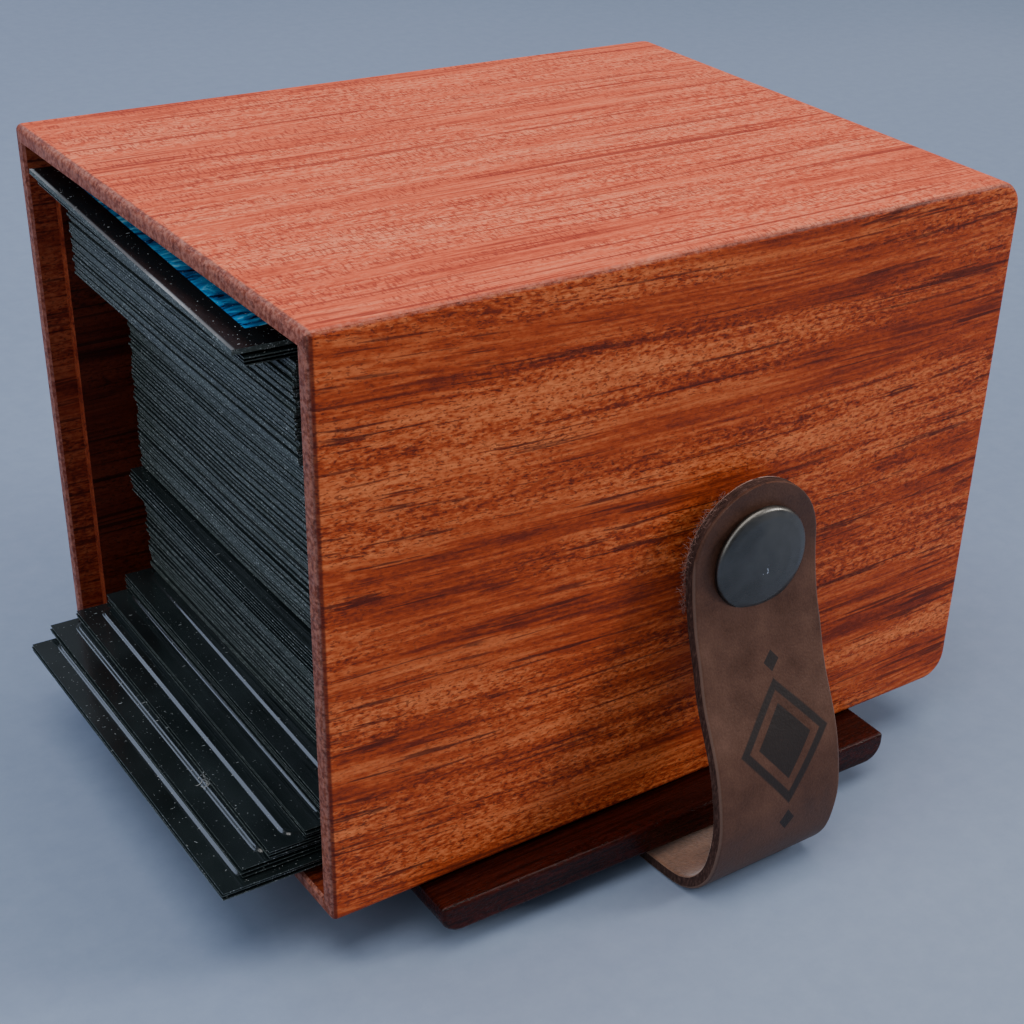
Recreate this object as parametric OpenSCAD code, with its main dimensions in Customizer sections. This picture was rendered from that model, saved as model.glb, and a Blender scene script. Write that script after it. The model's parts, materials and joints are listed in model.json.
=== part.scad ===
// Wooden card deck box: a mitred five-panel case that is open at one end, a loose lid plate,
// a leather strap on two press studs, and the sleeved deck inside.
// The box lies on its side on the strap, with the lid plate stored between case and strap.
// +X runs from the open end to the closed end, +Z is up, and z = 0 is the underside of the strap.

/* [Case] */
// Outside length of the case, open end to closed end
case_l = 107; // [104:0.5:116]
// Outside width of the case, across the two strap faces
case_w = 81; // [80:0.5:90]
// Outside height of the case as it lies
case_h = 79; // [78.5:0.5:79.5]
// Thickness of the five panels
wall = 4.2; // [4:0.1:4.4]
// Rim left round the lid's seat at the open end
rim = 2.5; // [2:0.1:3]
// Depth of the lid's seat
seat_depth = 3.5; // [3:0.1:4.5]
// Radius of the closed end's top and bottom edges
end_round = 4; // [2:0.1:4]

/* [Lid] */
// Thickness of the lid plate
lid_t = 4.5; // [3.5:0.1:4.6]
// Play on each side of the lid in its seat
lid_play = 0.3; // [0.2:0.05:0.5]
// Radius of the two rounded ends of the lid's outer face
lid_round = 3; // [1:0.1:3.4]
// Distance of the stored lid behind the open end
lid_setback = 13.6; // [10:0.1:18]
// Distance that the stored lid's long edge stands past the case
lid_overhang = 6; // [4:0.1:6.5]
// Angle by which the stored lid lies askew
lid_skew = 1.3; // [0:0.1:1.5]

/* [Strap] */
// Width of the leather strap
strap_w = 21; // [18:0.5:22]
// Thickness of the leather
strap_t = 2.6; // [2.2:0.1:2.8]
// Distance from the open end to the press studs
snap_setback = 61; // [55:0.5:65]
// Height of the press studs above the case's underside
snap_height = 37; // [37:0.5:40]
// Gap between the leather and the case at the press studs
standoff = 2.1; // [2:0.1:2.4]
// Distance that the strap's loops bulge past the case's faces
bulge = 17.5; // [16.5:0.5:18]
// Angle at which the strap leaves the case
strap_slant = 33; // [31:1:35]
// Radius of the strap's lower bends, at the middle of the leather
curl_r = 11; // [10:0.5:11]
// Radius of the strap's upper bends, at the middle of the leather
kink_r = 8; // [5:1:8]

/* [Press studs] */
// Diameter of the domed cap
cap_d = 15; // [14:0.1:16]
// Height of the domed cap
cap_h = 2.2; // [1.8:0.1:2.6]
// Diameter of the socket behind the leather
socket_d = 12; // [11:0.1:12.5]
// Diameter of the stud that the socket closes on
stud_d = 5.2; // [4.8:0.1:5.6]
// Diameter of the stud's base, let into the case
stud_base_d = 11; // [10:0.1:12]
// Thickness of the stud's base
stud_base_t = 1; // [0.8:0.1:1.2]
// Diameter of the rivet's flange inside the case
rivet_d = 9; // [8:0.1:10]
// Radial running clearance between stud and socket
stud_gap = 0.05; // [0.02:0.01:0.08]

/* [Sleeved cards] */
// Width of a sleeve
sleeve_w = 66; // [65:0.5:67]
// Length of a sleeve
sleeve_l = 91; // [90:0.5:91.5]
// Gap left between two packets of cards
packet_gap = 0.05; // [0.02:0.01:0.1]

/* [Hidden] */
$fn = 64;
slack = 1;                                   // overrun of cutting bodies
lid_gap = 0.3;                               // stored lid to the case's underside
strap_gap = 0.9;                             // stored lid to the strap, room for the strap's swing
case_z = strap_t + strap_gap + lid_t + lid_gap;
open_x = -case_l / 2;
closed_x = case_l / 2;
face_y = case_w / 2;
inner_y = face_y - wall;
snap_x = open_x + snap_setback;
snap_z = case_z + snap_height;

lid_l = case_w - 2 * rim - 2 * lid_play;     // along X as stored
lid_w = case_h - 2 * rim - 2 * lid_play;     // along Y as stored

tab_y = face_y + standoff + strap_t / 2;     // middle of the leather at the studs
curl_y = face_y + bulge - strap_t / 2 - curl_r;
curl_z = curl_r + strap_t / 2;
slope_y = curl_y + curl_r * cos(strap_slant);
slope_z = curl_z + curl_r * sin(strap_slant);
kink_z = slope_z + (slope_y - tab_y) / tan(strap_slant);
bend_z = kink_z + kink_r * tan(strap_slant / 2);

post_d = 3.5;                                // rivet post of the cap
post_play = 0.1;
socket_t = standoff - 0.1;
socket_plate = 0.6;
barrel_d = 3.9;                              // barrel of the inner rivet
barrel_play = 0.05;
rivet_t = 0.8;
base_play = 0.1;                             // round and behind the parts let into the case

// Packets of sleeved cards from the bottom up:
// front set back from the open end, sideways shift, skew, lowest and highest point above the case
fan_1_at = [-10.7, -0.7, 1.3, 4.2, 5.6];
fan_2_at = [-7.4, 0.4, 1.5, 5.6, 7.2];
fan_3_at = [-3.6, 0, 1.8, 7.2, 8.6];
fan_4_at = [1.2, -0.3, 1.7, 8.6, 10.2];
fan_5_at = [4.3, 0, 1.9, 10.2, 12.6];
lower_at = [8.9, -0.4, 0.8, 12.6, 26];
stepped_at = [7.1, -0.4, 1, 26, 29.8];
middle_at = [9.1, -0.4, 0.7, 29.8, 60.2];
upper_at = [2.3, -0.4, 1.1, 60.2, 72.6];
second_at = [-1.6, 1.2, 2.6, 72.6, 73.9];
top_at = [-2.6, 1.8, 3, 73.9, 74.6];

wood = "#9c4a2b";
lid_wood = "#6a2a1c";
leather = "#5c463d";
gunmetal = "#2f3437";
sleeve = "#1b2224";

function arc_points(y, z, r, from, to, steps) =
  [for (i = [0:steps]) let (a = from + (to - from) * i / steps) [y + r * cos(a), z + r * sin(a)]];

// One face of the strap's profile on the far side, from the upper bend to the bottom run.
// side is +1 for the outer face of the leather and -1 for the inner face.
function strap_face(side) = concat(
  arc_points(tab_y + kink_r, bend_z, kink_r - side * strap_t / 2, 180, 180 + strap_slant, 8),
  arc_points(curl_y, curl_z, curl_r + side * strap_t / 2, strap_slant, -90, 28));

function reversed(points) = [for (i = [len(points) - 1:-1:0]) points[i]];

function flipped(points) = [for (p = points) [-p[0], p[1]]];

module mirror_far(far) {
  mirror([0, far ? 1 : 0, 0]) children();
}

// Extrudes a drawing in (x, z) along Y, centred
module along_y(width) {
  translate([0, width / 2, 0]) rotate([90, 0, 0]) linear_extrude(width) children();
}

// Extrudes a drawing in (y, z) along X from x = from
module along_x(from, length) {
  translate([from, 0, 0]) rotate([90, 0, 90]) linear_extrude(length) children();
}

// Cylinder from y = y0 to y = y1 about the press stud's axis, on the near face
module stud_cylinder(d, y0, y1) {
  translate([snap_x, y1, snap_z]) rotate([90, 0, 0]) cylinder(d = d, h = y1 - y0);
}

// Case outline in (x, z): square at the open end, rounded at the closed end
module case_outline() {
  r = end_round;
  translate([open_x, case_z]) square([case_l - r, case_h]);
  translate([open_x, case_z + r]) square([case_l, case_h - 2 * r]);
  translate([closed_x - r, case_z + r]) circle(r);
  translate([closed_x - r, case_z + case_h - r]) circle(r);
}

module lid_seat() {
  translate([open_x - slack, rim - face_y, case_z + rim])
    cube([seat_depth + slack, case_w - 2 * rim, case_h - 2 * rim]);
}

// Mitred side panel on the near face, bored for the press stud
module side_panel() {
  difference() {
    intersection() {
      along_y(case_w) case_outline();
      along_x(open_x, case_l)
        polygon([[-face_y, case_z], [-face_y, case_z + case_h],
                 [-inner_y, case_z + case_h - wall], [-inner_y, case_z + wall]]);
      linear_extrude(case_z + case_h)
        polygon([[open_x, -face_y], [closed_x, -face_y],
                 [closed_x - wall, -inner_y], [open_x, -inner_y]]);
    }
    lid_seat();
    stud_cylinder(barrel_d + 2 * barrel_play, -face_y - slack, -inner_y + slack);
    stud_cylinder(stud_base_d + 2 * base_play, -face_y - slack, -face_y + stud_base_t + base_play);
    stud_cylinder(rivet_d + 2 * base_play, -inner_y - rivet_t - base_play, -inner_y + slack);
  }
}

// Mitred top or bottom panel: outer is the z of its outer face, inner that of its inner face
module level_panel(outer, inner) {
  difference() {
    intersection() {
      along_y(case_w) case_outline();
      along_x(open_x, case_l)
        polygon([[-face_y, outer], [face_y, outer], [inner_y, inner], [-inner_y, inner]]);
      along_y(case_w)
        polygon([[open_x, outer], [closed_x, outer], [closed_x - wall, inner], [open_x, inner]]);
    }
    lid_seat();
  }
}

module near_wall() { color(wood) side_panel(); }

module far_wall() { color(wood) mirror_far(true) side_panel(); }

module top_panel() { color(wood) level_panel(case_z + case_h, case_z + case_h - wall); }

module bottom_panel() { color(wood) level_panel(case_z, case_z + wall); }

module end_panel() {
  color(wood) intersection() {
    along_y(case_w) case_outline();
    linear_extrude(case_z + case_h)
      polygon([[closed_x, -face_y], [closed_x, face_y],
               [closed_x - wall, inner_y], [closed_x - wall, -inner_y]]);
    along_y(case_w)
      polygon([[closed_x, case_z], [closed_x, case_z + case_h],
               [closed_x - wall, case_z + case_h - wall], [closed_x - wall, case_z + wall]]);
  }
}

// Lid outline in (x, z), centred in x, with its outer face down and rounded at both ends
module lid_outline() {
  r = lid_round;
  translate([-lid_l / 2, r]) square([lid_l, lid_t - r]);
  translate([-lid_l / 2 + r, 0]) square([lid_l - 2 * r, lid_t]);
  for (x = [-lid_l / 2 + r, lid_l / 2 - r])
    intersection() {
      translate([x, r]) circle(r);
      translate([x - r, 0]) square([2 * r, r]);
    }
}

module lid_plate() {
  color(lid_wood)
    translate([open_x + lid_setback + lid_l / 2, -face_y - lid_overhang + lid_w / 2, strap_t + strap_gap])
      rotate([0, 0, -lid_skew]) along_y(lid_w) lid_outline();
}

// Flat strap end in (x, z) round the press stud
module tab_outline() {
  translate([snap_x, snap_z]) circle(d = strap_w);
  translate([snap_x - strap_w / 2, bend_z]) square([strap_w, snap_z - bend_z]);
}

module strap() {
  color(leather) difference() {
    union() {
      along_x(snap_x - strap_w / 2, strap_w)
        polygon(concat(strap_face(1), flipped(reversed(strap_face(1))),
                       flipped(strap_face(-1)), reversed(strap_face(-1))));
      for (side = [-1, 1])
        translate([0, side * tab_y, 0]) along_y(strap_t) tab_outline();
    }
    for (far = [false, true])
      mirror_far(far) stud_cylinder(post_d + 2 * post_play, -tab_y - strap_t, -tab_y + strap_t);
  }
}

// Domed cap with a straight rim, and the post that goes through the leather
module snap_cap() {
  leather_y = -tab_y - strap_t / 2;
  rim_h = cap_h / 2;
  dome_h = cap_h - rim_h;
  dome_r = (cap_d * cap_d / 4 + dome_h * dome_h) / (2 * dome_h);
  dome_angle = asin(cap_d / 2 / dome_r);
  color(gunmetal) {
    translate([snap_x, leather_y, snap_z]) rotate([90, 0, 0]) rotate_extrude()
      polygon(concat([[0, 0], [cap_d / 2, 0]],
                     arc_points(0, cap_h - dome_r, dome_r, 90 - dome_angle, 90, 10)));
    stud_cylinder(post_d, leather_y, -face_y - standoff + socket_plate - base_play);
  }
}

// Socket behind the leather, closed on the stud with a running clearance
module snap_socket() {
  back = -face_y - standoff;
  color(gunmetal) difference() {
    stud_cylinder(socket_d, back, back + socket_t);
    stud_cylinder(post_d + 2 * post_play, back - slack, back + socket_t);
    stud_cylinder(stud_d + 2 * stud_gap, back + socket_plate, back + socket_t + slack);
  }
}

module snap_stud() {
  base_out = -face_y + base_play / 2;
  color(gunmetal) {
    stud_cylinder(stud_base_d, base_out, base_out + stud_base_t);
    stud_cylinder(stud_d, -face_y - standoff + socket_plate + base_play, base_out);
  }
}

// Rivet from inside the case that holds the stud
module snap_rivet() {
  flange_in = -inner_y - base_play / 2;
  color(gunmetal) {
    stud_cylinder(rivet_d, flange_in - rivet_t, flange_in);
    stud_cylinder(barrel_d, -face_y + base_play / 2 + stud_base_t, flange_in - rivet_t);
  }
}

// One packet of sleeved cards: [front, shift, skew, low, high]
module packet(at) {
  color(sleeve)
    translate([open_x + at[0], at[1], case_z + at[3]]) rotate([0, 0, -at[2]])
      translate([0, -sleeve_w / 2, 0]) cube([sleeve_l, sleeve_w, at[4] - at[3] - packet_gap]);
}

near_wall();
far_wall();
top_panel();
bottom_panel();
end_panel();
lid_plate();
strap();
snap_cap();  // snap_cap_near
mirror_far(true) snap_cap();  // snap_cap_far
snap_socket();  // snap_socket_near
mirror_far(true) snap_socket();  // snap_socket_far
snap_stud();  // snap_stud_near
mirror_far(true) snap_stud();  // snap_stud_far
snap_rivet();  // snap_rivet_near
mirror_far(true) snap_rivet();  // snap_rivet_far
packet(fan_1_at);  // fan_cards_1
packet(fan_2_at);  // fan_cards_2
packet(fan_3_at);  // fan_cards_3
packet(fan_4_at);  // fan_cards_4
packet(fan_5_at);  // fan_cards_5
packet(lower_at);  // lower_cards
packet(stepped_at);  // stepped_cards
packet(middle_at);  // middle_cards
packet(upper_at);  // upper_cards
packet(second_at);  // second_cards
packet(top_at);  // top_card
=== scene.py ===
import json
import math

import bmesh
import bpy
from mathutils import Matrix, Vector


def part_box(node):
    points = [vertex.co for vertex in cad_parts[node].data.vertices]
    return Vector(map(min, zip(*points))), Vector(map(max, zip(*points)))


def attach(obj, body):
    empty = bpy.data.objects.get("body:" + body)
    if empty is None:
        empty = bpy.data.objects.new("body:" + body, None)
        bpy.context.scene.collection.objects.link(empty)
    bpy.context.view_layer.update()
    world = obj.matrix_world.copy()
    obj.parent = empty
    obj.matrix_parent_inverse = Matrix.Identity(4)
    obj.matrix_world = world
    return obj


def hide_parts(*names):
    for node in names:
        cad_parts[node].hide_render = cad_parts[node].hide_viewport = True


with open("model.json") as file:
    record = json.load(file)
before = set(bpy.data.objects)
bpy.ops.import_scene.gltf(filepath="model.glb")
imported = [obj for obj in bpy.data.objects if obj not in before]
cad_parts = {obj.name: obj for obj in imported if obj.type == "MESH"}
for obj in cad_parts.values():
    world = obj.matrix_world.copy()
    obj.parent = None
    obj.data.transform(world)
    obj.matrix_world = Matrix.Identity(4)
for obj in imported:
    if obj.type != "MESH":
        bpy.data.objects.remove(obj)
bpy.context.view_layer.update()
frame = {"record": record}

MM = 0.001

# ---------------------------------------------------------------- sizes, from the frame

PANELS = ("near_wall", "far_wall", "top_panel", "bottom_panel", "end_panel")
RIM = 2.5 * MM              # wood left round the lid's seat
SEAT_DEPTH = 3.5 * MM
END_ROUND = 4 * MM          # closed end, top and bottom edges
EASE = 0.9 * MM             # every other outside edge
HAIRLINE = 0.015 * MM       # half of the joint line between two panels


def corners(*nodes):
    """Lowest and highest corner round several nodes."""
    boxes = [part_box(n) for n in nodes]
    low = Vector([min(b[0][i] for b in boxes) for i in range(3)])
    high = Vector([max(b[1][i] for b in boxes) for i in range(3)])
    return low, high


def centre(node):
    low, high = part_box(node)
    return (low + high) / 2


CASE_LOW, CASE_HIGH = corners(*PANELS)
CASE_MID = (CASE_LOW + CASE_HIGH) / 2
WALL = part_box("top_panel")[1].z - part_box("top_panel")[0].z
STUD = centre("snap_cap_near")

# ---------------------------------------------------------------- mesh work


def new_piece(name, points, faces):
    mesh = bpy.data.meshes.new(name)
    mesh.from_pydata([tuple(p) for p in points], [], faces)
    piece = bpy.data.objects.new(name, mesh)
    bpy.context.scene.collection.objects.link(piece)
    return piece


def edit(piece, work):
    """Runs work on the piece's mesh as a bmesh."""
    bm = bmesh.new()
    bm.from_mesh(piece.data)
    work(bm)
    bm.to_mesh(piece.data)
    bm.free()
    return piece


def outward(piece):
    return edit(piece, lambda bm: bmesh.ops.recalc_face_normals(bm, faces=bm.faces))


def brick(name, low, high):
    points = [(x, y, z) for x in (low.x, high.x) for y in (low.y, high.y) for z in (low.z, high.z)]
    faces = [(0, 1, 3, 2), (4, 6, 7, 5), (0, 4, 5, 1), (2, 3, 7, 6), (0, 2, 6, 4), (1, 5, 7, 3)]
    return outward(new_piece(name, points, faces))


def flatten(piece):
    """Turns the piece and its modifiers into a plain mesh."""
    bpy.context.view_layer.update()
    graph = bpy.context.evaluated_depsgraph_get()
    mesh = bpy.data.meshes.new_from_object(piece.evaluated_get(graph))
    piece.modifiers.clear()
    old = piece.data
    piece.data = mesh
    mesh.name = piece.name
    bpy.data.meshes.remove(old)
    return piece


def carve(piece, tool, keep_common=False):
    """Cuts the tool out of the piece, or keeps only what both share. The tool is used up."""
    cut = piece.modifiers.new("cut", "BOOLEAN")
    cut.operation = "INTERSECT" if keep_common else "DIFFERENCE"
    cut.solver = "EXACT"
    cut.object = tool
    flatten(piece)
    bpy.data.objects.remove(tool)
    return piece


def shade(piece, sharp_above=35):
    """Smooth over rounds, crisp over real edges, and flat faces stay flat."""
    def mark(bm):
        bmesh.ops.remove_doubles(bm, verts=bm.verts, dist=0.001 * MM)
        for face in bm.faces:
            face.smooth = True
        for edge in bm.edges:
            turn = edge.calc_face_angle(math.pi) if len(edge.link_faces) == 2 else math.pi
            edge.smooth = turn < math.radians(sharp_above)

    edit(piece, mark)
    even = piece.modifiers.new("even", "WEIGHTED_NORMAL")
    even.keep_sharp = True
    even.weight = 100
    return flatten(piece)


def rectangle_loft(name, rings):
    """Closed solid through rectangles set across X: each ring is (x, half width, low z, high z)."""
    points = []
    for x, half, low, high in rings:
        points += [(x, -half, low), (x, half, low), (x, half, high), (x, -half, high)]
    faces = [(0, 1, 2, 3), tuple(len(points) - 4 + i for i in (3, 2, 1, 0))]
    for ring in range(len(rings) - 1):
        for side in range(4):
            a, b = 4 * ring + side, 4 * ring + (side + 1) % 4
            faces.append((a, a + 4, b + 4, b))
    return outward(new_piece(name, points, faces))


def softened(profile, radius, steps=4):
    """Rounds the corners of an open profile of (r, depth) points."""
    made = [profile[0]]
    for before, here, after in zip(profile, profile[1:], profile[2:]):
        p, q, r = Vector(before), Vector(here), Vector(after)
        reach = min(radius, (p - q).length * 0.45, (r - q).length * 0.45)
        start, end = q + (p - q).normalized() * reach, q + (r - q).normalized() * reach
        for i in range(steps + 1):
            t = i / steps
            made.append(tuple((1 - t) ** 2 * start + 2 * t * (1 - t) * q + t * t * end))
    return made + [profile[-1]]


def turned(name, profile, side, turns=96):
    """Turned piece about the press stud's axis. Profile points are (radius, distance out from the
    case's face), from axis to axis; side is -1 for the near face and 1 for the far one."""
    face = CASE_LOW.y if side < 0 else CASE_HIGH.y
    points, rows = [], []
    for radius, out in profile:
        y = face + side * out
        if radius < 1e-9:
            points.append((STUD.x, y, STUD.z))
            rows.append([len(points) - 1] * turns)
            continue
        start = len(points)
        for i in range(turns):
            a = math.tau * i / turns
            points.append((STUD.x + radius * math.cos(a), y, STUD.z + radius * math.sin(a)))
        rows.append(list(range(start, start + turns)))
    faces = []
    for row, after in zip(rows, rows[1:]):
        for i in range(turns):
            j = (i + 1) % turns
            ring = [row[i], row[j], after[j], after[i]]
            ring = [v for k, v in enumerate(ring) if v not in ring[:k]]
            if len(ring) > 2:
                faces.append(tuple(ring))
    return outward(new_piece(name, points, faces))


# ---------------------------------------------------------------- finishes


class Finish:
    """A material: the shader's fixed settings, and the nodes that vary them over the surface."""

    def __init__(self, name, settings):
        self.material = bpy.data.materials.new(name)
        self.material.use_nodes = True
        self.tree = self.material.node_tree
        self.shader = self.tree.nodes["Principled BSDF"]
        for socket, value in settings.items():
            self.shader.inputs[socket].default_value = value

    def node(self, kind, inputs, **settings):
        made = self.tree.nodes.new(kind)
        for key, value in settings.items():
            setattr(made, key, value)
        for key, value in inputs.items():
            if isinstance(value, bpy.types.NodeSocket):
                self.tree.links.new(value, made.inputs[key])
            else:
                made.inputs[key].default_value = value
        return made

    def feed(self, socket, value):
        self.tree.links.new(value, self.shader.inputs[socket])

    def place(self, turn=(0, 0, 0), shift=(0, 0, 0)):
        """Object coordinates, turned by degrees and shifted."""
        here = self.node("ShaderNodeTexCoord", {}).outputs["Object"]
        angles = [math.radians(a) for a in turn]
        inputs = {"Vector": here, "Rotation": angles, "Location": shift}
        return self.node("ShaderNodeMapping", inputs).outputs[0]

    def flat_map(self, name):
        return self.node("ShaderNodeUVMap", {}, uv_map=name).outputs[0]

    def stretched(self, place, scale):
        return self.node("ShaderNodeMapping", {"Vector": place, "Scale": scale}).outputs[0]

    def noise(self, place, scale, detail=2.0, rough=0.5, warp=0.0):
        """Cloudy value from 0 to 1, about one lump for each unit of scale in a metre."""
        inputs = {"Vector": self.stretched(place, scale), "Scale": 1.0, "Detail": detail,
                  "Roughness": rough, "Distortion": warp}
        return self.node("ShaderNodeTexNoise", inputs).outputs["Fac"]

    def cells(self, place, scale):
        """Distance from the middle of the nearest cell."""
        inputs = {"Vector": self.stretched(place, scale), "Scale": 1.0}
        return self.node("ShaderNodeTexVoronoi", inputs).outputs["Distance"]

    def math(self, how, a, b=0.0, clamp=False):
        return self.node("ShaderNodeMath", {0: a, 1: b}, operation=how, use_clamp=clamp).outputs[0]

    def times(self, a, b):
        return self.math("MULTIPLY", a, b)

    def plus(self, a, b, clamp=False):
        return self.math("ADD", a, b, clamp)

    def minus(self, a, b):
        return self.math("SUBTRACT", a, b)

    def between(self, value, low, high, start=0.0, end=1.0):
        """start where value is at or under low, end where it is at or over high."""
        inputs = {"Value": value, "From Min": low, "From Max": high, "To Min": start, "To Max": end}
        return self.node("ShaderNodeMapRange", inputs, interpolation_type="SMOOTHSTEP").outputs[0]

    def ramp(self, value, stops):
        made = self.node("ShaderNodeValToRGB", {"Fac": value})
        while len(made.color_ramp.elements) < len(stops):
            made.color_ramp.elements.new(0.5)
        for element, (at, colour) in zip(made.color_ramp.elements, stops):
            element.position = at
            element.color = (*colour, 1)
        return made.outputs["Color"]

    def mix(self, share, first, second):
        pair = [(*c, 1) if isinstance(c, tuple) else c for c in (first, second)]
        inputs = {0: share, 6: pair[0], 7: pair[1]}
        return self.node("ShaderNodeMix", inputs, data_type="RGBA", clamp_factor=True).outputs[2]

    def parts(self, vector):
        return self.node("ShaderNodeSeparateXYZ", {0: vector}).outputs

    def normal(self):
        """Parts of the surface's own normal."""
        return self.parts(self.node("ShaderNodeTexCoord", {}).outputs["Normal"])

    def bump(self, height, strength, depth):
        made = self.node("ShaderNodeBump", {"Height": height, "Strength": strength, "Distance": depth})
        self.feed("Normal", made.outputs[0])


def rosewood(name, colours, turn=(0, 0, 0), shift=(0, 0, 0), pores=0.6, ticks=0.0, gloss=0.5,
             contrast=1.0, arch=0.0, wear_sheen_and_shade=True):
    """Oiled red hardwood, its grain along X and arched by arch. colours are dark, middle, light and
    streak. The last switch greys the end grain at the open end, greys the upward-facing eased edges with
    wear and painted sheen, and darkens the eased surfaces turned into the open end with painted shade."""
    dark, middle, light, streak = colours
    w = Finish(name, {"Specular IOR Level": 0.18})
    place = w.place(turn, shift)
    along, across, up = w.parts(place)
    drift = w.times(w.noise(place, (14, 50, 50), detail=2), 0.003)
    drift = w.minus(drift, w.times(w.times(along, along), arch))
    bent = w.node("ShaderNodeCombineXYZ", {0: along, 1: w.plus(across, drift),
                                           2: w.plus(up, drift)}).outputs[0]
    bands = w.noise(bent, (6, 300, 300), detail=3, rough=0.65)
    zones = w.noise(bent, (16, 125, 125), detail=2)
    fibres = w.noise(bent, (80, 2100, 2100), detail=2, rough=0.6)
    crinkle = w.noise(bent, (1000, 2400, 2400), detail=2, rough=0.6)
    golden = w.between(zones, 0.40, 0.58)
    tone = w.plus(w.times(bands, 0.50 * contrast), w.times(zones, 0.32 * contrast))
    tone = w.plus(tone, 0.5 - 0.41 * contrast)
    tone = w.plus(tone, w.times(w.minus(fibres, 0.5), 0.42))
    rough_part = w.plus(w.times(golden, 0.50), 0.22)
    tone = w.plus(tone, w.times(w.minus(crinkle, 0.5), rough_part))
    between_two = tuple((a + b) / 2 for a, b in zip(middle, light))
    colour = w.ramp(tone, [(0.34, dark), (0.47, middle), (0.58, between_two), (0.74, light)])
    lines = w.between(w.noise(bent, (9, 950, 950), detail=3, rough=0.6), 0.41, 0.34)
    hairlines = w.between(w.noise(bent, (14, 1700, 1700), detail=1), 0.36, 0.29)
    share = w.math("MAXIMUM", w.times(lines, 0.8), w.times(hairlines, 0.65))
    colour = w.mix(share, colour, streak)
    pits = w.between(w.noise(bent, (1700, 4200, 4200), detail=1), 0.45, 0.32)
    pits = w.times(pits, w.between(zones, 0.36, 0.52, 0.45, 1.0))
    colour = w.mix(w.times(pits, pores), colour, streak)
    height = w.minus(w.times(crinkle, 0.5), pits)
    if ticks:
        marks = w.between(w.noise(place, (3300, 700, 700), detail=1), 0.53, 0.62)
        rows = w.between(w.noise(place, (50, 420, 420), detail=2), 0.42, 0.52)
        marks = w.times(marks, rows)
        colour = w.mix(w.times(marks, ticks), colour, streak)
        height = w.minus(height, marks)
    if wear_sheen_and_shade:
        nx, ny, nz = w.normal()
        x = w.parts(w.place())[0]
        fuzz = w.noise(place, (1500, 1500, 1500), detail=3, rough=0.7)
        at_end = w.between(x, CASE_LOW.x + 2.4 * MM, CASE_LOW.x + 1.6 * MM)
        sides = w.between(w.math("ABSOLUTE", ny), 0.3, 0.6)
        # painted shade: eased surfaces at the open end that turn towards the opening are darkened
        painted_shade_turned_in = w.times(w.times(w.between(nx, -0.12, -0.4), sides), at_end)
        colour = w.mix(w.times(painted_shade_turned_in, 0.75), colour, (0.085, 0.010, 0.006))
        end_grain = w.times(w.between(nx, -0.55, -0.85), at_end)
        # upward-facing eased edges greyed: partly wear, partly painted sheen
        top_lip_wear_and_sheen = w.times(w.between(nx, -0.10, -0.45), w.between(nz, 0.35, 0.7))
        long_lip_wear_and_sheen = w.times(w.between(w.math("ABSOLUTE", ny), 0.15, 0.5), w.between(nz, 0.25, 0.5))
        share = w.math("MAXIMUM", end_grain, w.math("MAXIMUM", top_lip_wear_and_sheen, w.times(long_lip_wear_and_sheen, 0.6)))
        grey = w.mix(w.between(fuzz, 0.35, 0.65), (0.085, 0.026, 0.019), (0.33, 0.150, 0.115))
        colour = w.mix(w.times(share, 0.8), colour, grey)
        height = w.plus(height, w.times(w.times(fuzz, share), 1.5))
    w.feed("Base Color", colour)
    w.feed("Roughness", w.between(fibres, 0.3, 0.7, gloss - 0.06, gloss + 0.08))
    w.bump(height, 0.35, 0.1 * MM)
    return w.material


RED_WOOD = [(0.175, 0.020, 0.005), (0.415, 0.056, 0.010), (0.790, 0.205, 0.062), (0.068, 0.008, 0.004)]
# painted shade: the seat palette is a darker copy of the red wood, for the shade just inside the open end
SEAT_WOOD_PAINTED_SHADE = [(0.070, 0.008, 0.004), (0.190, 0.026, 0.009), (0.330, 0.075, 0.028), (0.030, 0.004, 0.003)]
# painted shade: the inner palette is a still darker copy of the red wood, for the shade deep inside the
# case
INNER_WOOD_PAINTED_SHADE = [(0.030, 0.004, 0.002), (0.075, 0.009, 0.003), (0.120, 0.020, 0.007), (0.012, 0.002, 0.001)]
# painted light: the top palette is a paler, pinker copy of the red wood, for the light and sheen on the top
# face
TOP_WOOD_PAINTED_LIGHT = [(0.400, 0.052, 0.024), (0.660, 0.115, 0.050), (0.880, 0.260, 0.135), (0.250, 0.028, 0.017)]
# painted shade: the lid palette is a near-black copy of the red wood, for the shade on the lid under the
# case
LID_WOOD_PAINTED_SHADE = [(0.010, 0.001, 0.001), (0.024, 0.003, 0.001), (0.055, 0.006, 0.003), (0.004, 0.001, 0.001)]

# the strap's map is in units of 100 mm
MARK_SHIFT = 0.012          # the mark sits a little off the middle of the strap
MARK_MIDDLE = 0.262         # and that far below the stud's axis


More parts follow.
